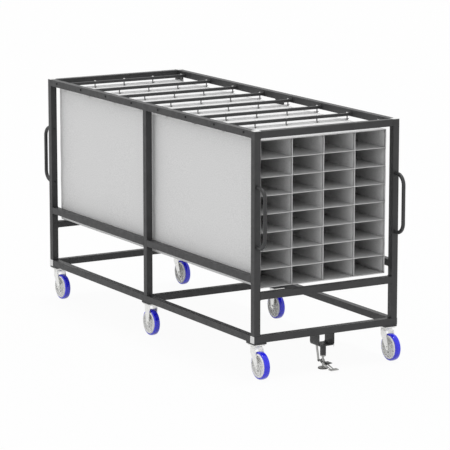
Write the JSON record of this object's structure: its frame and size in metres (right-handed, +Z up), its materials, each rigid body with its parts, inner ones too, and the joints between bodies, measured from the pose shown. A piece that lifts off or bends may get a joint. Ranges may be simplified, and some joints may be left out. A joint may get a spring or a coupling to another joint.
{
  "type": "parts cart",
  "caption": "Long welded tube cart on swivel and rigid casters, with a hanging cloth bag of open cells, crossbars, pull handles and a foot-operated floor lock.",
  "frame": {"origin": "middle of the cart on the floor", "axes": "+X along the length towards the end with the floor lock, +Y across towards the far side, +Z up"},
  "size_m": [3.428, 1.2292, 1.7865],
  "materials": {
    "frame_paint": "satin charcoal powder coat",
    "plug_plastic": "matt light grey",
    "zinc_plate": "bright zinc plating",
    "black_zinc": "black zinc",
    "bright_steel": "bright steel",
    "wheel_core": "moulded light grey",
    "wheel_tread": "glossy blue polyurethane",
    "bag_cloth": "light grey coated cloth",
    "pad_rubber": "dark grey rubber"
  },
  "bodies": {
    "frame": {"corner_post_front_near": "frame_paint", "corner_post_front_far": "frame_paint", "corner_post_rear_near": "frame_paint", "corner_post_rear_far": "frame_paint", "middle_posts": "frame_paint", "base_end_rail_front": "frame_paint", "base_end_rail_rear": "frame_paint", "base_side_rails": "frame_paint", "base_cross_rail": "frame_paint", "middle_side_rails": "frame_paint", "middle_end_rails": "frame_paint", "top_side_rails": "frame_paint", "top_end_rails": "frame_paint", "caster_pads": "frame_paint", "pull_handles_front": "frame_paint", "pull_handles_rear": "frame_paint", "crossbars": "frame_paint", "lock_bracket": "frame_paint", "lock_post": "frame_paint", "tube_plugs": "plug_plastic", "caster_plates": "zinc_plate", "caster_bolts": "zinc_plate", "lock_guide": "zinc_plate", "lock_straps": "zinc_plate", "lock_spring": "zinc_plate", "caster_fork_middle_near": "zinc_plate", "caster_fork_middle_far": "zinc_plate", "caster_axle_middle_near": "zinc_plate", "caster_axle_middle_far": "zinc_plate", "handle_bolts": "black_zinc", "crossbar_bolts": "black_zinc", "hanger_bolts": "bright_steel", "bag_support_rods": "bright_steel", "bag_upright_sheets": "bag_cloth", "bag_shelf_sheets": "bag_cloth", "bag_top_sheet": "bag_cloth"},
    "swivel_front_near": {"caster_fork_front_near": "zinc_plate", "caster_axle_front_near": "zinc_plate"},
    "wheel_front_near": {"wheel_core_front_near": "wheel_core", "wheel_tread_front_near": "wheel_tread"},
    "swivel_front_far": {"caster_fork_front_far": "zinc_plate", "caster_axle_front_far": "zinc_plate"},
    "wheel_front_far": {"wheel_core_front_far": "wheel_core", "wheel_tread_front_far": "wheel_tread"},
    "wheel_middle_near": {"wheel_core_middle_near": "wheel_core", "wheel_tread_middle_near": "wheel_tread"},
    "wheel_middle_far": {"wheel_core_middle_far": "wheel_core", "wheel_tread_middle_far": "wheel_tread"},
    "swivel_rear_near": {"caster_fork_rear_near": "zinc_plate", "caster_axle_rear_near": "zinc_plate"},
    "wheel_rear_near": {"wheel_core_rear_near": "wheel_core", "wheel_tread_rear_near": "wheel_tread"},
    "swivel_rear_far": {"caster_fork_rear_far": "zinc_plate", "caster_axle_rear_far": "zinc_plate"},
    "wheel_rear_far": {"wheel_core_rear_far": "wheel_core", "wheel_tread_rear_far": "wheel_tread"},
    "lock_lever": {"lock_pedal": "zinc_plate"},
    "lock_foot": {"lock_shaft": "zinc_plate", "lock_foot_pad": "pad_rubber"},
    "lock_trip": {"lock_release": "black_zinc"}
  },
  "joints": [
    {"name": "front_near_swivel", "type": "hinge", "parent": "frame", "child": "swivel_front_near", "pos_m": [1.54285, -0.5576, 0.2444], "axis": [0, 0, 1], "continuous": true},
    {"name": "front_near_wheel_spin", "type": "hinge", "parent": "swivel_front_near", "child": "wheel_front_near", "pos_m": [1.60085, -0.5576, 0.1016], "axis": [0, 1, 0], "continuous": true},
    {"name": "front_far_swivel", "type": "hinge", "parent": "frame", "child": "swivel_front_far", "pos_m": [1.54285, 0.5576, 0.2444], "axis": [0, 0, 1], "continuous": true},
    {"name": "front_far_wheel_spin", "type": "hinge", "parent": "swivel_front_far", "child": "wheel_front_far", "pos_m": [1.60085, 0.5576, 0.1016], "axis": [0, 1, 0], "continuous": true},
    {"name": "middle_near_wheel_spin", "type": "hinge", "parent": "frame", "child": "wheel_middle_near", "pos_m": [0, -0.5576, 0.1016], "axis": [0, 1, 0], "continuous": true},
    {"name": "middle_far_wheel_spin", "type": "hinge", "parent": "frame", "child": "wheel_middle_far", "pos_m": [0, 0.5576, 0.1016], "axis": [0, 1, 0], "continuous": true},
    {"name": "rear_near_swivel", "type": "hinge", "parent": "frame", "child": "swivel_rear_near", "pos_m": [-1.54285, -0.5576, 0.2444], "axis": [0, 0, 1], "continuous": true},
    {"name": "rear_near_wheel_spin", "type": "hinge", "parent": "swivel_rear_near", "child": "wheel_rear_near", "pos_m": [-1.48485, -0.5576, 0.1016], "axis": [0, 1, 0], "continuous": true},
    {"name": "rear_far_swivel", "type": "hinge", "parent": "frame", "child": "swivel_rear_far", "pos_m": [-1.54285, 0.5576, 0.2444], "axis": [0, 0, 1], "continuous": true},
    {"name": "rear_far_wheel_spin", "type": "hinge", "parent": "swivel_rear_far", "child": "wheel_rear_far", "pos_m": [-1.48485, 0.5576, 0.1016], "axis": [0, 1, 0], "continuous": true},
    {"name": "lock_lever_hinge", "type": "hinge", "parent": "frame", "child": "lock_lever", "pos_m": [1.52346, 0, 0.058], "axis": [0, -1, 0], "range_deg": [0, 35]},
    {"name": "lock_foot_slide", "type": "slide", "parent": "frame", "child": "lock_foot", "axis": [0, 0, 1], "range_m": [0, 0.0185], "deforming": ["lock_spring"]},
    {"name": "lock_trip_hinge", "type": "hinge", "parent": "lock_lever", "child": "lock_trip", "pos_m": [1.594, 0, 0.04139], "axis": [0, 1, 0], "range_deg": [0, 12], "stiffness_Nm_per_rad": 4, "springref_deg": -5.73}
  ],
  "couplings": [
    {"joint": "lock_foot_slide", "follows": "lock_lever_hinge", "m_per_rad": 0.029466}
  ]
}
